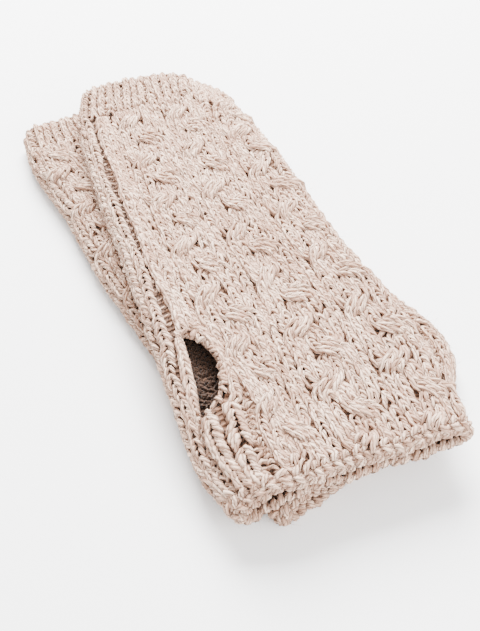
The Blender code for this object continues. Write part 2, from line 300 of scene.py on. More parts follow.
class Wire:
    # one output of a shader node, with the sums that the materials need
    def __init__(self, tree, socket=None):
        self.tree = tree
        self.socket = socket

    def make(self, kind, settings=None, values=None, output=0):
        node = self.tree.nodes.new(kind)
        for name, value in (settings or {}).items():
            setattr(node, name, value)
        for name, value in (values or {}).items():
            if isinstance(value, Wire):
                self.tree.links.new(value.socket, node.inputs[name])
            else:
                node.inputs[name].default_value = value
        return Wire(self.tree, node.outputs[output])

    def sum(self, operation, first, second=0.0):
        return self.make("ShaderNodeMath", {"operation": operation}, {0: first, 1: second})

    def __add__(self, other):
        return self.sum("ADD", self, other)

    def __mul__(self, other):
        return self.sum("MULTIPLY", self, other)

    def __sub__(self, other):
        return self.sum("SUBTRACT", self, other)

    def __rsub__(self, other):
        return self.sum("SUBTRACT", other, self)

    __radd__ = __add__
    __rmul__ = __mul__


def blankWool(name, look):
    material = bpy.data.materials.new(name)
    material.use_nodes = True
    shader = material.node_tree.nodes["Principled BSDF"]
    shader.inputs["Roughness"].default_value = look["roughness"]
    shader.inputs["Sheen Weight"].default_value = look["sheen"]
    shader.inputs["Sheen Roughness"].default_value = wool["sheenRoughness"]
    shader.inputs["Specular IOR Level"].default_value = wool["specular"]
    return material, shader, Wire(material.node_tree)


def mixed(wire, share, one, two):
    return wire.make("ShaderNodeMix", {"data_type": "RGBA"}, {0: share, 6: one, 7: two}, output=2)


def onUv(wire, layer):
    # both coordinates of a piece's own UV map
    place = wire.make("ShaderNodeUVMap", {"uv_map": layer})
    return [wire.make("ShaderNodeSeparateXYZ", {}, {0: place}, output=part) for part in (0, 1)]


def noise(wire, place, scale, detail):
    return wire.make("ShaderNodeTexNoise", {}, {"Vector": place, "Scale": scale, "Detail": detail})


def smoothStep(wire, value, span):
    return wire.make("ShaderNodeMapRange", {"interpolation_type": "SMOOTHSTEP"},
                     {0: value, 1: span[0], 2: span[1], 3: 0.0, 4: 1.0})


def dress(wire, shader, look, colour, shade, height):
    # the last nodes of both wools: a tint by mitten, which on the back's ground also carries painted light,
    # and the bump
    tint = wire.make("ShaderNodeMix", {"data_type": "RGBA", "blend_type": "MULTIPLY"},
                     {0: 1.0, 6: colour, 7: (*shade, 1.0)}, output=2)
    wire.tree.links.new(tint.socket, shader.inputs["Base Color"])
    bump = wire.make("ShaderNodeBump", {}, {"Strength": look["bump"], "Distance": look["bumpDepth"],
                                            "Height": height})
    wire.tree.links.new(bump.socket, shader.inputs["Normal"])


wool = {
    "cream": (0.90, 0.66, 0.51, 1.0),
    "rose": (0.46, 0.275, 0.19, 1.0),
    # painted shade: the brown and the near black below stand for shade in crevices, between plies and on the
    # knit's ground; cream and rose are the yarn's own marl
    "paintedShadeBrown": (0.245, 0.130, 0.082, 1.0),
    "paintedShadeDark": (0.055, 0.028, 0.017, 1.0),
    "sheenRoughness": 0.5,
    "specular": 0.2,
}
# scales are to a metre, and depths of the bump are in metres
yarnLook = {
    "roughness": 0.92, "sheen": 0.08, "bump": 1.0, "bumpDepth": 0.0008,
    "plies": 3, "twist": 0.8, "marlByTone": 6.0,
    "hairs": {"round": 7.0, "run": 2.2, "tone": 40.0},
    "speckScale": 650.0, "patchScale": 55.0,
    "pale": {"marl": 0.30, "hair": 1.7, "speck": 1.0, "patch": 0.9, "tone": 0.5, "less": 1.72},
    "plyGrooveShade": (0.10, 0.75), "grooveHair": 0.3,        # painted shade between plies, from the shade brown to the ply's colour
    "creviceShade": (0.0, 0.66), "depthLobe": 0.10,          # painted shade, from the shade brown in a crevice up to the ply's colour, by the rise of the leg
    # painted shade: the lowest rises are coloured from near black up
    "lowestShade": (-0.25, 0.12),
    "height": {"lobe": 0.7, "hair": 0.5, "speck": 0.2},
}
# painted shade: the knit's ground is coloured dark for the shade between and under the stitches
clothLook = {
    "roughness": 0.95, "sheen": 0.05, "bump": 0.8, "bumpDepth": 0.0011,
    "arch": 0.16, "speckScale": 500.0,
    "paintedShadeBrown": {"loops": 0.25, "speck": 0.6, "less": 0.12},
    "height": {"loops": 0.8, "speck": 0.4},
}


def yarnMaterial(name, shade):
    look = yarnLook
    material, shader, wire = blankWool(name, look)
    around, run = onUv(wire, "ply")
    # rise is a painted shade level: where it is low the yarn is coloured darker
    rise = wire.make("ShaderNodeAttribute", {"attribute_name": "rise"}, output=2)
    tone = wire.make("ShaderNodeAttribute", {"attribute_name": "tone"}, output=2)
    # plies of unlike wool twisted round each other, each of many hairs
    ply = around + run * look["twist"]
    lobe = wire.sum("ABSOLUTE", wire.sum("SINE", ply * (look["plies"] * math.pi)))
    marl = wire.sum("SINE", ply * (2 * math.pi) + tone * look["marlByTone"])
    hairs = look["hairs"]
    lengthwise = wire.make("ShaderNodeCombineXYZ", {}, {0: ply * hairs["round"], 1: run * hairs["run"],
                                                       2: tone * hairs["tone"]})
    hair = noise(wire, lengthwise, 1.0, 2.0)
    where = wire.make("ShaderNodeTexCoord", output=3)
    speck = noise(wire, where, look["speckScale"], 2.0)
    patch = noise(wire, where, look["patchScale"], 2.0)
    part = look["pale"]
    pale = (marl * part["marl"] + hair * part["hair"] + speck * part["speck"] + patch * part["patch"]
            + tone * part["tone"] - part["less"])
    lit = mixed(wire, wire.make("ShaderNodeClamp", {}, {0: pale}), wool["rose"], wool["cream"])
    # painted shade: grooves between plies, low parts of each leg and the lowest crevices are coloured shade
    # brown to near black
    plyGrooveShade = smoothStep(wire, lobe + hair * look["grooveHair"], look["plyGrooveShade"])
    creviceShade = smoothStep(wire, rise + lobe * look["depthLobe"], look["creviceShade"])
    shaded = mixed(wire, creviceShade, wool["paintedShadeBrown"], mixed(wire, plyGrooveShade, wool["paintedShadeBrown"], lit))
    colour = mixed(wire, smoothStep(wire, rise, look["lowestShade"]), wool["paintedShadeDark"], shaded)
    part = look["height"]
    height = lobe * part["lobe"] + hair * part["hair"] + speck * part["speck"]
    dress(wire, shader, look, colour, shade, height)
    return material


def clothMaterial(name, shade):
    # painted shade: the ground of the knit, which shows between the stitches, inside and underneath, is
    # coloured near black to dark brown for the shade there
    look = clothLook
    material, shader, wire = blankWool(name, look)
    wale, row = onUv(wire, "knit")
    arch = wire.sum("SINE", wale * (2 * math.pi))
    loops = wire.sum("SINE", (row + arch * look["arch"]) * (2 * math.pi))
    speck = noise(wire, wire.make("ShaderNodeTexCoord", output=3), look["speckScale"], 3.0)
    part = look["paintedShadeBrown"]
    share = loops * part["loops"] + speck * part["speck"] - part["less"]
    colour = mixed(wire, wire.make("ShaderNodeClamp", {}, {0: share}), wool["paintedShadeDark"], wool["paintedShadeBrown"])
    part = look["height"]
    dress(wire, shader, look, colour, shade, loops * part["loops"] + speck * part["speck"])
    return material


# the lower mitten is coloured a little darker all over
shades = {"upper": (1.0, 1.0, 1.0), "lower": (0.95, 0.94, 0.93)}
backPaintedLight = 2.2     # painted light: the back's ground is coloured this much paler than the palm's, for the light that gets between its stitches
yarns = {mitten: yarnMaterial(mitten + "Yarn", shade) for mitten, shade in shades.items()}
grounds = {mitten: clothMaterial(mitten + "Ground", shade) for mitten, shade in shades.items()}
backGrounds = {mitten: clothMaterial(mitten + "BackGround", [backPaintedLight * part for part in shade])
               for mitten, shade in shades.items()}
print("materials ready")


# Yarn

legShapes = {
    "leg": {"sides": 6, "fullness": (0.60, 0.95, 1.0, 0.95, 0.60)},
    "fibre": {"sides": 3, "fullness": (1.0, 0.8, 0.6, 0.3)},
}
twisted = {
    "turn": 1.9,                    # radians over a leg
    "wide": 1.10, "thin": 0.90,     # its section isn't quite round
    "lit": 0.30,                    # painted light and shade: its outer side counts as this much further up than its middle, so it is coloured paler and its inner side darker
    "floor": 0.0001,                # metres that it stays above the floor
}


def startFresh():
    if bpy.context.object and bpy.context.object.mode != "OBJECT":
        bpy.ops.object.mode_set(mode="OBJECT")
    bpy.ops.object.select_all(action="DESELECT")


def modelLeg(kind):
    # a filled ring drawn out in steps, each as wide as the leg is full there
    sides, full = legShapes[kind]["sides"], legShapes[kind]["fullness"]
    startFresh()
    bpy.ops.mesh.primitive_circle_add(vertices=sides, radius=1.0, fill_type="NGON")
    leg = bpy.context.object
    bpy.ops.object.mode_set(mode="EDIT")
    bpy.ops.mesh.select_all(action="SELECT")
    bpy.ops.transform.resize(value=(full[0], full[0], 1.0))
    step = 1.0 / (len(full) - 1)
    for before, after in zip(full, full[1:]):
        bpy.ops.mesh.extrude_region_move(TRANSFORM_OT_translate={"value": (0, 0, step)})
        bpy.ops.transform.resize(value=(after / before, after / before, 1.0))
    bpy.ops.mesh.select_all(action="SELECT")
    bpy.ops.mesh.normals_make_consistent(inside=False)
    bpy.ops.object.mode_set(mode="OBJECT")
    mesh = leg.data
    points = np.array([v.co for v in mesh.vertices])
    faces = [list(p.vertices) for p in mesh.polygons]
    angle = np.mod(np.arctan2(points[:, 1], points[:, 0]) / (2 * math.pi), 1.0)
    corners = []
    for face in faces:
        turn = angle[face]
        if len(face) == 4 and turn.max() - turn.min() > 0.5:
            turn = np.where(turn < 0.5, turn + 1.0, turn)
        corners += [(a, points[v, 2]) for a, v in zip(turn, face)]
    bpy.data.objects.remove(leg)
    ring = np.rint(points[:, 2] / step).astype(int)
    return {"points": points, "ring": ring, "faces": faces, "corners": np.array(corners)}


legs = {kind: modelLeg(kind) for kind in legShapes}
print("one leg modelled:", len(legs["leg"]["faces"]), "faces")


def layYarn(name, material, batches, kind="leg"):
    # joined copies of the leg; a batch has centre lines, outward directions, thickness, rise (a painted
    # shade level) and tone
    leg = legs[kind]
    centre, outward, half, rise, tone = (np.concatenate(column) for column in zip(*batches))
    count = len(centre)
    tangent = np.gradient(centre, axis=1)
    tangent /= np.linalg.norm(tangent, axis=-1, keepdims=True) + 1e-12
    side = np.cross(outward, tangent)
    side /= np.linalg.norm(side, axis=-1, keepdims=True) + 1e-12
    up = np.cross(tangent, side)
    ring, local = leg["ring"], leg["points"]
    spin = chance.random(count)[:, None] * math.pi + twisted["turn"] * local[None, :, 2]
    x = local[:, 0] * np.cos(spin) - local[:, 1] * np.sin(spin)
    y = local[:, 0] * np.sin(spin) + local[:, 1] * np.cos(spin)
    away = np.arctan2(local[:, 1], local[:, 0])[None, :] * 2
    oval = (twisted["wide"] + twisted["thin"]) / 2 + (twisted["wide"] - twisted["thin"]) / 2 * np.cos(away)
    points = centre[:, ring] + (half[:, ring] * oval)[..., None] * (side[:, ring] * x[..., None]
                                                                     + up[:, ring] * y[..., None])
    points[..., 2] = np.maximum(points[..., 2], twisted["floor"])
    perLeg = len(local)
    loops = np.concatenate(leg["faces"])
    sizes = np.array([len(face) for face in leg["faces"]])
    starts = np.concatenate([[0], np.cumsum(sizes)[:-1]])
    allLoops = (loops[None, :] + perLeg * np.arange(count)[:, None]).ravel()
    allStarts = (starts[None, :] + len(loops) * np.arange(count)[:, None]).ravel()
    mesh = bpy.data.meshes.new(name)
    mesh.vertices.add(count * perLeg)
    mesh.vertices.foreach_set("co", points.astype(np.float32).ravel())
    mesh.loops.add(len(allLoops))
    mesh.loops.foreach_set("vertex_index", allLoops.astype(np.int32))
    mesh.polygons.add(len(allStarts))
    mesh.polygons.foreach_set("loop_start", allStarts.astype(np.int32))
    mesh.update(calc_edges=True)
    mesh.shade_smooth()
    shift = chance.random(count)[:, None, None] * np.array([1.0, 5.0])
    uv = leg["corners"][None] + shift
    layer = mesh.uv_layers.new(name="ply")
    layer.data.foreach_set("uv", uv.astype(np.float32).ravel())
    # painted light and shade: rise is stored for the yarn's colour, darker where low, and each leg's outer
    # side counts as higher, so it is coloured paler than its underside
    shadeLevels = rise[:, ring] + twisted["lit"] * y
    for title, values in (("rise", shadeLevels), ("tone", np.repeat(tone, perLeg))):
        layer = mesh.attributes.new(title, "FLOAT", "POINT")
        layer.data.foreach_set("value", values.astype(np.float32).ravel())
    piece = bpy.data.objects.new(name, mesh)
    bpy.context.scene.collection.objects.link(piece)
    mesh.materials.append(material)
    return piece


probe = 0.4     # a second point this much further out shows which way is outwards


def yarnLines(mitten, wale, along, out, half, rise, inside=False):
    # centre lines on the knit, from arrays of one row for each leg and one column for each ring
    wale, along = wander(wale, along)
    centre = clothPoint(mitten, wale, along, out)
    outward = clothPoint(mitten, wale, along, out + probe) - centre
    outward /= np.linalg.norm(outward, axis=-1, keepdims=True) + 1e-12
    if inside:
        outward = -outward
    tone = chance.random(len(centre))
    return centre, outward, half * mm + 0 * centre[..., 0], rise + 0 * centre[..., 0], tone


def jitter(shape, size):
    return chance.normal(0.0, size, shape)


def loosely(shape, size):
    # nothing is drawn where a leg isn't loose
    return jitter(shape, size) if size else 0.0


def rings(values):
    # a row with one value for each ring of a leg
    return np.array(values)[None, :]


stitch = {
    "across": (0.02, 0.13, 0.25, 0.35, 0.40),     # wales from the column's middle, tip to arm
    "along": (0.98, 0.60, 0.08, -0.48, -1.00),    # rows, the tips point to the wrist
    "out": (-1.00, 0.42, 0.66, 0.18, -0.95),
    "half": 1.03,
    # painted shade: rise colours a leg's tip and arm darker, where they tuck under other yarn, and its
    # middle paler; a higher level adds painted light
    "rise": (0.00, 0.55, 0.78, 0.52, 0.05),
    "paintedLightByLevel": 0.13,
    "below": 0.35,
    "twin": 0.5,                                  # wales from a strand's middle to each of its columns
    "bent": 0.4,                                  # share of a leg's spread that gives way to the slit
    "firstRow": 0.6,                              # rows past the panel's start
    "lastRow": 1.0,                               # before the rib
    "loose": {"across": 0.055, "along": 0.17, "leg": 0.06, "out": 0.22, "half": 0.13, "tilt": 0.07},
}


def rowsOf(mitten, wale):
    start = tube["firstRow"] + tube["rowHeight"] * stitch["firstRow"]
    end = float(cuffLine(mitten, wale, "rib")) - stitch["lastRow"]
    return np.arange(start, end, tube["rowHeight"])


def knitColumn(mitten, rows, course, half=1.0, narrow=1.0, twin=0, paintedDarkening=0.0):
    # both legs of every stitch of a column; course gives wale and height along its own path, and the
    # darkening argument colours its yarn darker as painted shade
    if not len(rows):
        return []
    batches = []
    loose = stitch["loose"]
    shape = (len(rows), 1)
    shake = jitter(shape, loose["along"])
    steps = np.linspace(-1.0, 1.0, 5)[None, :]
    for side in (-1.0, 1.0):
        row = rings(stitch["along"]) * tube["rowHeight"]
        s = rows[:, None] + row + (shake + jitter(shape, loose["leg"])) * tube["rowHeight"]
        middle, level, slope = course(rows[:, None], s)
        turned = 1.0 / np.sqrt(1.0 + slope**2)
        across = (twin * stitch["twin"] + side * narrow * rings(stitch["across"])
                  + jitter(shape, loose["across"]) + jitter(shape, loose["tilt"]) * steps)
        spread = across * turned
        s = s - across * tube["waleWidth"] * slope * turned
        along = s + rowLean(middle + spread, s)
        out = (tube["wall"] / 2 - stitch["below"] + level + rings(stitch["out"])
               + jitter(shape, loose["out"]))
        thick = stitch["half"] * half * (1 + jitter(shape, loose["half"]))
        # painted light and shade: paler where the yarn stands higher, darker by the painted darkening given
        rise = rings(stitch["rise"]) + stitch["paintedLightByLevel"] * level - paintedDarkening
        placed = pulled(middle + stitch["bent"] * spread, along) + (1 - stitch["bent"]) * spread
        batches.append(yarnLines(mitten, placed, along, out, thick, rise))
    return batches


def plaitCourse(middle, strand):
    def course(centre, s):
        phaseA, phaseB, grow = crossings(centre - plait["crossFirst"], crossing["length"])
        move = (s - centre) / plait["repeat"]
        ua = np.clip((phaseA + move) * grow + 0.5, 0, 1)
        ub = np.clip((phaseB + move) * grow + 0.5, 0, 1)
        at, level = strandPlaces(phaseA, ua, ub)[strand]
        slopeA = 2 * 6 * ua * (1 - ua) * grow / plait["repeat"]
        slopeB = 2 * 6 * ub * (1 - ub) * grow / plait["repeat"]
        onFirst, onSecond = ((-slopeA, 0.0), (slopeA, slopeB), (0.0, -slopeB))[strand]
        slope = byCrossing(phaseA, onFirst, onSecond) * tube["waleWidth"]
        height = (crossing["lift"] * plait["strandRise"]
                  + np.where(level > 0, crossing["over"], crossing["under"]) * level)
        return middle + at, height, slope
    return course


def straightCourse(wale, level):
    def course(centre, s):
        return wale + 0 * s, level + 0 * s, 0 * s
    return course


purl = {
    "across": (-0.52, -0.27, 0.0, 0.27, 0.52),    # wales
    "bow": (0.32, -0.05, -0.2, -0.05, 0.32),      # rows
    "out": (-0.9, -0.1, 0.15, -0.1, -0.9),
    # painted shade: rise colours the ends of each bar darker and its middle paler, and a higher level paler
    # still
    "rise": (0.0, 0.25, 0.36, 0.25, 0.0),
    "paintedLightByLevel": 0.12,
    "loose": {"across": 0.10, "along": 0.45, "ring": 0.18, "half": 0.12},
}


def purlColumn(mitten, rows, wale, level, width=1.0, half=1.0):
    # the bar of yarn that shows across a purl stitch
    if not len(rows):
        return []
    loose = purl["loose"]
    shape = (len(rows), 1)
    w = wale + rings(purl["across"]) * width + jitter(shape, loose["across"])
    s = (rows[:, None] + rings(purl["bow"]) * tube["rowHeight"] + jitter(shape, loose["along"])
         + jitter(w.shape, loose["ring"]))
    along = s + rowLean(w, s)
    out = tube["wall"] / 2 + level + rings(purl["out"]) + 0 * w
    rise = rings(purl["rise"]) + purl["paintedLightByLevel"] * level + 0 * w
    thick = half * (1 + jitter(shape, loose["half"]))
    return [yarnLines(mitten, pulled(w, along), along, out, thick, rise)]


hump = {
    "across": (-0.30, -0.20, 0.0, 0.20, 0.30),    # wales
    "arch": (-1.0, 0.1, 0.6, 0.1, -1.0),
    "out": (-0.9, 0.25, 0.55, 0.25, -0.9),
    # painted shade: rise colours the ends of each hump darker and its middle paler, and a higher level paler
    # still
    "rise": (0.0, 0.30, 0.48, 0.30, 0.0),
    "paintedLightByLevel": 0.13,
    "half": 0.95,
    "stagger": ((-0.27, 0.0), (0.27, 0.5)),       # wales and rows
    "loose": {"lean": 0.8, "leanInside": 0.35, "across": 0.07, "along": 0.35, "out": 0.2, "half": 0.14},
}


def purlBumps(mitten, rows, wale, level, paintedDarkening=0.0, inside=False):
    # the humps of purl stitches, two staggered rows of small arches to a column; the darkening argument
    # colours them darker as painted shade
    if not len(rows):
        return []
    batches = []
    loose = hump["loose"]
    shape = (len(rows), 1)
    across = rings(hump["across"])
    for offset, late in hump["stagger"]:
        lean = jitter(shape, loose["leanInside"] if inside else loose["lean"])
        w = wale + offset + across + jitter(shape, loose["across"])
        s = (rows[:, None] + late * tube["rowHeight"] + jitter(shape, loose["along"])
             + rings(hump["arch"]) + lean * across * tube["waleWidth"])
        out = (-1 if inside else 1) * (tube["wall"] / 2 + level + jitter(shape, loose["out"])
                                       + rings(hump["out"]))
        # painted shade: the darkening lowers rise, so the humps are coloured darker
        rise = rings(hump["rise"]) + hump["paintedLightByLevel"] * level - paintedDarkening + 0 * w
        along = s + rowLean(w, s)
        placed = w if inside else pulled(w, along)
        thick = hump["half"] * (1 + jitter(shape, loose["half"]))
        batches.append(yarnLines(mitten, placed, along, out, thick, rise, inside))
    return batches


def finish(piece, slotName, *nodes):
    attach(piece, "root")
    if nodes:
        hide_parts(*nodes)
    return piece


def clothSheet(name, mitten, span, columns, rows, outer, thick, reach, material):
    # a thin panel: a grid bent to its place, then given its thickness inwards
    startFresh()
    bpy.ops.mesh.primitive_grid_add(x_subdivisions=columns, y_subdivisions=rows, size=1.0)
    piece = bpy.context.object
    piece.name = name
    piece.data.name = name
    co = np.zeros(len(piece.data.vertices) * 3)
    piece.data.vertices.foreach_get("co", co)
    co = co.reshape(-1, 3)
    u, v = co[:, 0] + 0.5, co[:, 1] + 0.5
    if mitten == "lower":
        u = 1.0 - u
    wale = span[0] + (span[1] - span[0]) * u
    along = reach(wale, v)
    hair = 0.001     # wales, which keep an edge of the panel on its own side of the seam
    moved = pulled(np.clip(wale, span[0] + hair, span[1] - hair), along)
    points = clothPoint(mitten, moved, along, outer(moved, along))
    piece.data.vertices.foreach_set("co", points.ravel())
    piece.data.update()
    loops = np.zeros(len(piece.data.loops), int)
    piece.data.loops.foreach_get("vertex_index", loops)
    layer = piece.data.uv_layers.active or piece.data.uv_layers.new(name="knit")
    layer.name = "knit"
    uv = np.stack([wale, along / tube["rowHeight"]], axis=-1)[loops]
    layer.data.foreach_set("uv", uv.astype(np.float32).ravel())
    solid = piece.modifiers.new("thickness", "SOLIDIFY")
    solid.thickness = thick * mm
    solid.offset = -1.0
    bpy.ops.object.modifier_apply(modifier=solid.name)
    piece.data.materials.append(material)
    bpy.ops.object.shade_smooth()
    return piece


def panelReach(mitten):
    def reach(wale, v):
        end = cuffLine(mitten, wale, "rib") - tube["seamGap"]
        return tube["firstRow"] + (end - tube["firstRow"]) * v
    return reach


ground = {"below": 0.95, "follow": 0.85, "thickness": 1.7, "backGrid": (64, 96), "palmGrid": (48, 84)}


def backOuter(wale, along):
    return tube["wall"] / 2 - ground["below"] + ground["follow"] * relief(wale, along)


def palmOuter(wale, along):
    return tube["wall"] / 2 - ground["below"] + 0 * wale


hidden = {"inside": 12.0, "from": 14.0, "to": 262.0, "above": 1.5}


def inSight(mitten, wale, rows=None):
    # rows of the lower mitten that lie well under the upper one are left out
    if rows is None:
        rows = rowsOf(mitten, wale)
    if mitten == "upper":
        return rows
    spot = clothPoint("lower", pulled(wale, rows), rows, hidden["above"]) / mm
    x = spot[:, 0] - pile["shift"][0]
    y = spot[:, 1] - pile["shift"][1]
    inside = np.minimum(x - fromTable(upperPlan, "left", y), fromTable(upperPlan, "right", y) - x)
    covered = (inside > hidden["inside"]) & (y > hidden["from"]) & (y < hidden["to"])
    return rows[~covered]


def plaitPieces(mitten):
    made = []
    for number, middle in enumerate(plait["middles"]):
        batches = []
        for strand in (0, 1, 2):
            rows = inSight(mitten, middle + 2 * (1 - strand), rowsOf(mitten, middle))
            for twin in (-1, 1):
                batches += knitColumn(mitten, rows, plaitCourse(middle, strand), twin=twin)
        if batches:
            piece = layYarn(f"{mitten}_plait_{number + 1}", yarns[mitten], batches)
            made.append(finish(piece, mitten + "_back"))
    return made


sides = {
    "columns": ((-9.72, 0.7, 1.12), (-8.82, 0.6, 1.12), (-1.0, 0.2, 1.0), (6.0, 0.2, 1.0), (13.0, 0.2, 1.0),
                (15.0, 0.5, 1.0), (16.0, 0.5, 1.0)),     # wale, level, thickness
    "cutColumn": -9.72, "margin": 2.5,                   # its rows stop this far from the slit
    # the columns beyond this wale look otherwise in front of the slit, and are coloured darker there as
    # painted shade
    "front": {"beyond": -8.0, "stop": 2.0, "half": 1.36, "narrow": 1.1, "paintedDarkening": 0.38},
    # painted shade: the thumb gutter's bumps in front of the slit are coloured darker
    "thumbGutter": {"wale": -8.0, "stop": 1.0, "level": -0.35, "paintedDarkening": 0.22,
                    "again": 2.0, "aside": 0.05, "behind": -0.15},
    "farGutter": {"wale": 14.0, "level": -0.3, "half": 1.05},
}


def sidePiece(mitten):
    batches = []
    front = sides["front"]
    for wale, level, half in sides["columns"]:
        rows = inSight(mitten, wale)
        course = straightCourse(wale, level)
        if wale == sides["cutColumn"]:
            margin = sides["margin"]
            rows = rows[(rows < slit["start"] - margin) | (rows > slit["end"] + margin)]
        if wale < front["beyond"]:
            near = rows < slit["start"] - front["stop"]
            batches += knitColumn(mitten, rows[near], course, half=front["half"], narrow=front["narrow"],
                                  paintedDarkening=front["paintedDarkening"])
            rows = rows[~near]
        batches += knitColumn(mitten, rows, course, half=half)
    # the gutter at the thumb ends in front of the slit and goes on behind it
    gutter = sides["thumbGutter"]
    wale = gutter["wale"]
    rows = inSight(mitten, wale)
    near = rows[rows < slit["start"] - gutter["stop"]]
    batches += purlBumps(mitten, near, wale, gutter["level"], paintedDarkening=gutter["paintedDarkening"])
    far = rows[rows > slit["end"] + gutter["again"]]
    batches += knitColumn(mitten, far, straightCourse(wale + gutter["aside"], gutter["behind"]))
    gutter = sides["farGutter"]
    wale = gutter["wale"]
    batches += purlColumn(mitten, inSight(mitten, wale), wale, gutter["level"], half=gutter["half"])
    return finish(layYarn(mitten + "_side_columns", yarns[mitten], batches), mitten + "_back")


palmYarn = {
    # columns that show, counted from each seam: the rest of a palm faces down
    "thumbFold": {"count": 7, "from": 0.85}, "farFold": {"count": 4, "from": 0.6},
    # bumps in the seam in front of the slit, coloured darker as painted shade, then rungs across both seams
    "valley": {"stop": 2.0, "aside": 0.12, "level": -0.6, "paintedDarkening": 0.25},
    "rungs": {"again": 4.0, "every": 2, "level": -1.2, "width": 0.75, "half": 0.8},
    # the wrong side of the palm, seen through the slit of the upper mitten, coloured much darker as painted
    # shade inside the mitten
    "inside": {"before": 6.0, "after": 16.0, "wale": -24.0, "count": 11, "level": -0.2, "paintedDarkening": 1.2},
}


def palmPiece(mitten):
    batches = []
    near, far = palmYarn["thumbFold"], palmYarn["farFold"]
    folds = ([tube["seamLeft"] - near["from"] - step for step in range(near["count"])]
             + [tube["seamRight"] + far["from"] + step for step in range(far["count"])])
    for wale in folds:
        batches += knitColumn(mitten, inSight(mitten, wale), straightCourse(wale, 0.0))
    valley, rung = palmYarn["valley"], palmYarn["rungs"]
    for seam in (tube["seamLeft"], tube["seamRight"]):
        rows = rowsOf(mitten, seam)
        if seam == tube["seamLeft"]:
            bumps = inSight(mitten, seam, rows[rows < slit["start"] - valley["stop"]])
            batches += purlBumps(mitten, bumps, seam + valley["aside"], valley["level"], paintedDarkening=valley["paintedDarkening"])
            rows = rows[rows > slit["end"] + rung["again"]]
        rows = inSight(mitten, seam, rows[::rung["every"]])
        batches += purlColumn(mitten, rows, seam, rung["level"], rung["width"], rung["half"])
    if mitten == "upper":
        seen = palmYarn["inside"]
        rows = np.arange(slit["start"] - seen["before"], slit["end"] + seen["after"], tube["rowHeight"])
        for step in range(seen["count"]):
            batches += purlBumps(mitten, rows, seen["wale"] + step, seen["level"], paintedDarkening=seen["paintedDarkening"],
                                 inside=True)
    return finish(layYarn(mitten + "_palm_stitches", yarns[mitten], batches), mitten + "_palm")


def buildMitten(mitten):
    backYarn = [*plaitPieces(mitten), sidePiece(mitten)]
    palmStitches = palmPiece(mitten)
    reach = panelReach(mitten)
    back = clothSheet(mitten + "_back_cloth", mitten, (tube["seamLeft"], tube["seamRight"]),
                      *ground["backGrid"], backOuter, ground["thickness"], reach, backGrounds[mitten])
    palm = clothSheet(mitten + "_palm_cloth", mitten,
                      (tube["seamRight"], tube["seamLeft"] + tube["wales"]), *ground["palmGrid"],
                      palmOuter, ground["thickness"], reach, grounds[mitten])
    finish(back, mitten + "_back", mitten + "_back")
    finish(palm, mitten + "_palm", mitten + "_palm")
    return {"back": back, "palm": palm, "backYarn": backYarn, "palmYarn": [palmStitches]}


rib = {"count": 40, "rows": 9, "rise": 0.55, "narrow": 0.92, "half": 0.98, "start": 0.6, "end": 1.4}
ribGutter = {"start": 1.0, "level": -0.85, "width": 0.7}
ribCloth = {"below": 1.2, "wave": 0.5, "grid": (160, 12), "thickness": 1.5}
# rise of the cast-on arches is their painted shade level: the lower, the darker
castOn = {"across": (-0.55, -0.3, 0.0, 0.3, 0.55), "width": 0.72, "along": (-0.6, 0.2, 0.5, 0.2, -0.6),
          "out": (0.3, 0.7, 0.9, 0.7, 0.3), "half": 0.95, "rise": 0.5}


def buildCuff(mitten):
    batches = []
    for k in range(rib["count"]):
        wale = tube["wales"] * k / rib["count"]
        start = float(cuffLine(mitten, wale, "rib"))
        end = float(cuffLine(mitten, wale, "end"))
        rows = np.linspace(start + rib["start"], end - rib["end"], rib["rows"])
        batches += knitColumn(mitten, rows, straightCourse(wale, rib["rise"]), narrow=rib["narrow"],
                              half=rib["half"])
        gutter = wale + 0.5 * tube["wales"] / rib["count"]
        bars = np.linspace(start + ribGutter["start"], end - rib["end"], rib["rows"])
        batches += purlColumn(mitten, bars, gutter, ribGutter["level"], ribGutter["width"])
        # the cast-on edge: a low arch of yarn over each rib and each gutter
        for where in (wale, gutter):
            w = where + rings(castOn["across"]) * castOn["width"]
            s = end + rings(castOn["along"])
            batches.append(yarnLines(mitten, w, s, rings(castOn["out"]), castOn["half"], castOn["rise"]))
    stitches = finish(layYarn(mitten + "_cuff_ribs", yarns[mitten], batches), mitten + "_cuff")

    def reach(wale, v):
        start = cuffLine(mitten, wale, "rib") + tube["seamGap"] / 2
        return start + (cuffLine(mitten, wale, "end") - start) * v

    def outer(wale, along):
        wave = np.cos(2 * math.pi * wale * rib["count"] / tube["wales"])
        return tube["wall"] / 2 - ribCloth["below"] + ribCloth["wave"] * wave

    span = (tube["seamLeft"], tube["seamLeft"] + tube["wales"])
    cuff = clothSheet(mitten + "_cuff_cloth", mitten, span, *ribCloth["grid"], outer, ribCloth["thickness"],
                      reach, grounds[mitten])
    finish(cuff, mitten + "_cuff", mitten + "_cuff")


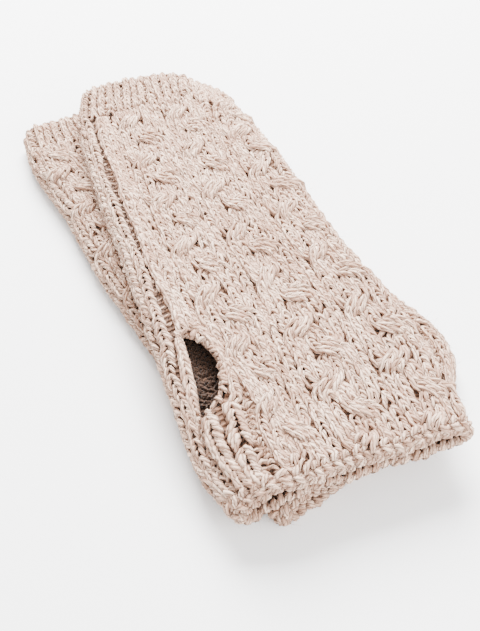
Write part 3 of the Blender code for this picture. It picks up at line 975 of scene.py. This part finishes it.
# The chain of the bind-off: across is in links, top is how far a leg stands out at the upper lip, close
# is how much of the closing it takes, and loose is for across, along, out and thickness
# rise is each ring's painted shade level, high on the chain so it is coloured paler: the lower, the darker
edge = {
    "links": 50, "closing": 1.9,                            # mm that the flat of each lip leans in
    "topRamp": (1.6, -0.2), "closeRamp": (1.25, -0.25),     # slope and offset of each, round the tube
    "legs": (
        # towards the knit
        {"across": (0.0, 0.18, 0.42, 0.66, 0.86), "along": (1.3, 2.2, 3.0, 3.8, 4.5),
         "out": (1.5, 2.1, 2.2, 1.9, 1.0), "top": 1.0, "close": 0.35,
         "rise": (0.50, 0.85, 0.95, 0.80, 0.50), "half": 1.18, "loose": (0.05, 0.2, 0.2, 0.10)},
        # over the front
        {"across": (0.05, 0.25, 0.48, 0.70, 0.85), "along": (1.2, 0.4, -0.5, -1.2, -1.6),
         "out": (1.5, 1.9, 1.7, 1.0, 0.0), "top": (1.0, 0.8, 0.4, 0.1, 0.0),
         "close": (0.4, 0.45, 0.5, 0.6, 0.7),
         "rise": (0.50, 0.85, 0.9, 0.75, 0.45), "half": 1.18, "loose": (0.05, 0.2, 0.12, 0.10)},
        # the front of the lip, under the chain, slanted the other way
        {"across": (0.9, 0.75, 0.55, 0.35, 0.15), "along": (-1.2, -1.7, -1.9, -1.7, -1.1),
         "out": (1.1, 0.4, -0.3, -1.0, -1.7), "top": 0.4, "close": (0.5, 0.6, 0.7, 0.85, 1.0),
         "rise": (0.45, 0.7, 0.75, 0.6, 0.3), "half": 1.15, "loose": (0.05, 0.15, 0.12, 0.08)},
        # the inside of the lip, slanted the other way too
        {"across": (1.0, 0.85, 0.65, 0.42, 0.2), "along": (-1.8, -1.9, -1.1, 0.2, 1.6),
         "out": (0.7, -0.5, -1.5, -1.9, -1.6), "top": 0.0, "close": (0.6, 0.8, 1.0, 1.0, 0.8),
         "rise": (0.35, 0.65, 0.6, 0.35, 0.05), "half": 1.35, "loose": (0.06, 0.15, 0.12, 0)},
    ),
    # along, out and thickness of the cores that back the chain
    "cores": ((3.2, 0.3, 1.3), (1.2, 0.5, 1.5), (-0.6, -0.1, 1.4), (-0.7, -1.2, 1.3)),
    "core": {"across": (-0.1, 0.2, 0.5, 0.8, 1.1), "top": 0.6, "close": 0.5, "rise": 0.30,
             "loose": (0, 0, 0.1, 0)},
    # between the chain and the first row of the panels
    "twist": {"across": (0.95, 0.8, 0.6, 0.4, 0.25), "along": (2.6, 3.3, 4.0, 4.7, 5.4),
              "out": (0.6, 1.3, 1.4, 1.1, 0.3), "top": 0.3, "close": 0.0,
              "rise": (0.15, 0.5, 0.55, 0.4, 0.05), "half": 1.1, "loose": (0.06, 0.2, 0, 0)},
}


def roundTube(wale):
    # 1 at the middle of the top, 0 at the folds and -1 at the middle underneath
    return np.cos(2 * math.pi * wale / tube["wales"])


def chainLegs(mitten, leg):
    # one leg of yarn to each link of the chain
    at = (tube["wales"] * np.arange(edge["links"]) / edge["links"])[:, None]
    ramp, less = edge["topRamp"]
    top = smooth((0.5 + 0.5 * roundTube(at)) * ramp + less)
    ramp, less = edge["closeRamp"]
    close = edge["closing"] * smooth(ramp * np.abs(roundTube(at)) + less)
    acrossBy, alongBy, outBy, halfBy = leg["loose"]
    w = at + tube["wales"] / edge["links"] * np.array(leg["across"]) + loosely(at.shape, acrossBy)
    s = np.array(leg["along"]) + loosely(at.shape, alongBy)
    out = (np.array(leg["out"]) + top * np.array(leg["top"]) - close * np.array(leg["close"])
           + loosely(at.shape, outBy))
    thick = leg["half"] * (1 + loosely(at.shape, halfBy))
    return yarnLines(mitten, w, s, out, thick, np.array(leg["rise"]))


def buildFingerEdge(mitten):
    cores = [{**edge["core"], "along": along, "out": out, "half": half}
             for along, out, half in edge["cores"]]
    batches = [chainLegs(mitten, leg) for leg in (*edge["legs"], *cores, edge["twist"])]
    piece = layYarn(mitten + "_finger_chain", yarns[mitten], batches)
    return finish(piece, mitten + "_finger_edge", mitten + "_finger_edge")


# Round the thumb slit: turns are runs of radians as start, end and count, and grow is how far a leg
# lies from the slit; loose is for lean, turn, grow, out and thickness
# rise is each ring's painted shade level: the lower, the darker the yarn is coloured
rim = (
    # bumps over the rim on the back side and at both ends
    {"turns": ((-0.35, 0.9, 5), (1.05, 2.5, 13), (2.65, 3.5, 4)), "spread": (-0.03, -0.015, 0.0, 0.02, 0.03),
     "grow": (3.4, 2.4, 1.1, 0.3, 0.9), "out": (0.7, 1.8, 2.0, 0.7, -1.2),
     "rise": (0.35, 0.7, 0.75, 0.45, 0.05), "half": 1.15, "loose": (0.055, 0, 0.3, 0.25, 0.15)},
    # a knit column along the palm side: its outer legs, then its inner ones
    {"turns": ((3.75, 5.65, 13),), "spread": (-0.16, -0.08, 0.0, 0.08, 0.16),
     "grow": (1.5, 2.13, 2.76, 3.12, 3.3), "out": (0.2, 1.5, 1.9, 1.5, 0.2),
     "rise": (0.2, 0.65, 0.8, 0.6, 0.15), "half": 1.15, "loose": (0, 0.02, 0.15, 0.2, 0)},
    {"turns": ((3.75, 5.65, 13),), "spread": (-0.16, -0.08, 0.0, 0.08, 0.16),
     "grow": (1.5, 1.045, 0.59, 0.33, 0.2), "out": (-0.1, 1.2, 1.6, 1.2, -0.1),
     "rise": (0.2, 0.65, 0.8, 0.6, 0.15), "half": 1.15, "loose": (0, 0.02, 0.15, 0.2, 0)},
    # the wall's own edge, all round
    {"turns": ((0.1, 6.1, 34),), "spread": (-0.12, -0.06, 0.0, 0.06, 0.12),
     "grow": 0.9, "out": (-0.6, -0.4, -0.3, -0.4, -0.6),
     "rise": 0.18, "half": 1.2, "loose": (0, 0, 0.2, 0.2, 0)},
)


def rimPlace(turn, grow):
    # a place round the thumb slit: half a turn along its back side, then back along its palm side
    length = (slit["end"] - slit["start"]) / 2 + grow
    along = (slit["end"] + slit["start"]) / 2 - length * np.cos(turn)
    side = np.where(np.sin(turn) >= 0, 1.0, -1.0)
    return thumbSide(along, side, grow), along


def rimLegs(mitten, leg):
    turns = np.concatenate([np.linspace(*part) for part in leg["turns"]])[:, None]
    leanBy, turnBy, growBy, outBy, halfBy = leg["loose"]
    lean = loosely(turns.shape, leanBy)
    turn = turns + np.array(leg["spread"]) + lean * np.linspace(-1, 1, 5) + loosely(turns.shape, turnBy)
    grow = np.array(leg["grow"]) + loosely(turns.shape, growBy)
    out = np.array(leg["out"]) + loosely(turns.shape, outBy)
    thick = leg["half"] * (1 + loosely(turns.shape, halfBy))
    return yarnLines(mitten, *rimPlace(turn, grow), out, thick, np.array(leg["rise"]))


def buildThumbEdge(mitten):
    piece = layYarn(mitten + "_thumb_stitches", yarns[mitten], [rimLegs(mitten, leg) for leg in rim])
    return finish(piece, mitten + "_thumb_edge", mitten + "_thumb_edge")


fuzz = {
    "count": 2200, "half": 0.055, "length": (2.5, 6.0),
    "stand": (0.12, 0.4),                        # share of its length that a hair stands off
    "bend": 0.18,
    # rise is the hairs' painted shade level, high so they take the yarn's own colour with little painted
    # shade
    "rise": 0.9, "palest": (0.5, 1.0),
    "facing": -0.1, "aboveFloor": 0.003,         # no hair on what faces down or lies lower, in metres
}


def buildFuzz(mitten, yarnPieces):
    # loose hairs of the wool, which stand off the yarn and soften the outline
    roots, facing = [], []
    for piece in yarnPieces:
        count = len(piece.data.vertices)
        spots, normals = np.zeros(count * 3), np.zeros(count * 3)
        piece.data.vertices.foreach_get("co", spots)
        piece.data.vertices.foreach_get("normal", normals)
        roots.append(spots.reshape(-1, 3))
        facing.append(normals.reshape(-1, 3))
    roots, facing = np.concatenate(roots), np.concatenate(facing)
    free = (facing[:, 2] > fuzz["facing"]) & (roots[:, 2] > fuzz["aboveFloor"])
    picked = chance.choice(np.flatnonzero(free), fuzz["count"], replace=False)
    root, face = roots[picked], facing[picked]
    ahead = np.cross(face, chance.normal(size=face.shape))
    ahead /= np.linalg.norm(ahead, axis=1, keepdims=True) + 1e-12
    length = chance.uniform(*fuzz["length"], len(picked))[:, None, None] * mm
    t = np.linspace(0.0, 1.0, len(legShapes["fibre"]["fullness"]))[None, :, None]
    stand = chance.uniform(*fuzz["stand"], len(picked))[:, None, None]
    bend = chance.normal(0.0, fuzz["bend"], face.shape)[:, None, :]
    centre = root[:, None, :] + length * (t * ahead[:, None, :] + stand * (t - 0.5 * t**2) * face[:, None, :]
                                          + bend * t**2)
    outward = np.broadcast_to(face[:, None, :], centre.shape)
    flat = np.ones(centre.shape[:2])
    tone = chance.uniform(*fuzz["palest"], len(picked))
    batch = (centre, outward, fuzz["half"] * mm * flat, fuzz["rise"] * flat, tone)
    return finish(layYarn(mitten + "_wool_fibres", yarns[mitten], [batch], "fibre"), mitten + "_back")


for mitten in ("upper", "lower"):
    built = buildMitten(mitten)
    buildCuff(mitten)
    fingers = buildFingerEdge(mitten)
    thumb = buildThumbEdge(mitten)
    fibres = buildFuzz(mitten, [*built["backYarn"], *built["palmYarn"], fingers])
    print(mitten, "mitten knitted")

total = sum(len(o.data.polygons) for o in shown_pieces())
print("faces shown:", total)


# Floor, light and camera

# metres and watts
studio = {
    "floorSize": 6.0, "floor": (0.94, 0.94, 0.94, 1.0), "floorRoughness": 0.9,
    "sky": (1.0, 1.0, 1.0, 1.0), "world": 1.42,
    "lights": {"key": {"at": (0.22, 0.8, 0.88), "aim": (0.0, 0.0, 0.0), "size": 0.8, "watts": 104.0},
               "fill": {"at": (0.25, -0.85, 0.6), "aim": (0.0, -0.1, 0.0), "size": 0.9, "watts": 22.0}},
}


def buildStudio():
    startFresh()
    bpy.ops.mesh.primitive_plane_add(size=studio["floorSize"])
    floor = bpy.context.object
    floor.name = "floor"
    material = bpy.data.materials.new("paleFloor")
    material.use_nodes = True
    shader = material.node_tree.nodes["Principled BSDF"]
    shader.inputs["Base Color"].default_value = studio["floor"]
    shader.inputs["Roughness"].default_value = studio["floorRoughness"]
    floor.data.materials.append(material)
    floor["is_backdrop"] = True
    world = bpy.context.scene.world or bpy.data.worlds.new("studio")
    bpy.context.scene.world = world
    world.use_nodes = True
    sky = world.node_tree.nodes["Background"]
    sky.inputs["Color"].default_value = studio["sky"]
    sky.inputs["Strength"].default_value = studio["world"]
    for name, lamp in studio["lights"].items():
        light = bpy.data.lights.new(name, "AREA")
        light.energy = lamp["watts"]
        light.size = lamp["size"]
        holder = bpy.data.objects.new(name, light)
        bpy.context.scene.collection.objects.link(holder)
        holder.location = lamp["at"]
        towards = np.array(lamp["aim"]) - np.array(lamp["at"])
        yaw = math.atan2(towards[0], -towards[1])
        pitch = math.atan2(math.hypot(towards[0], towards[1]), -towards[2])
        holder.rotation_euler = (pitch, 0.0, yaw + math.pi)


# place in metres, angles in degrees
view = {"at": (-0.1053, -0.3028, 0.337), "yaw": -20.0, "down": 48.8, "focalPixels": 930.0, "longSide": 631.0}


def buildCamera():
    data = bpy.data.cameras.new("camera")
    data.sensor_width = 36.0
    data.lens = view["focalPixels"] / view["longSide"] * data.sensor_width
    camera = bpy.data.objects.new("camera", data)
    bpy.context.scene.collection.objects.link(camera)
    camera.location = view["at"]
    camera.rotation_euler = (math.radians(90.0 - view["down"]), 0.0, math.radians(view["yaw"]))
    bpy.context.scene.camera = camera


buildStudio()
buildCamera()
print("studio ready")
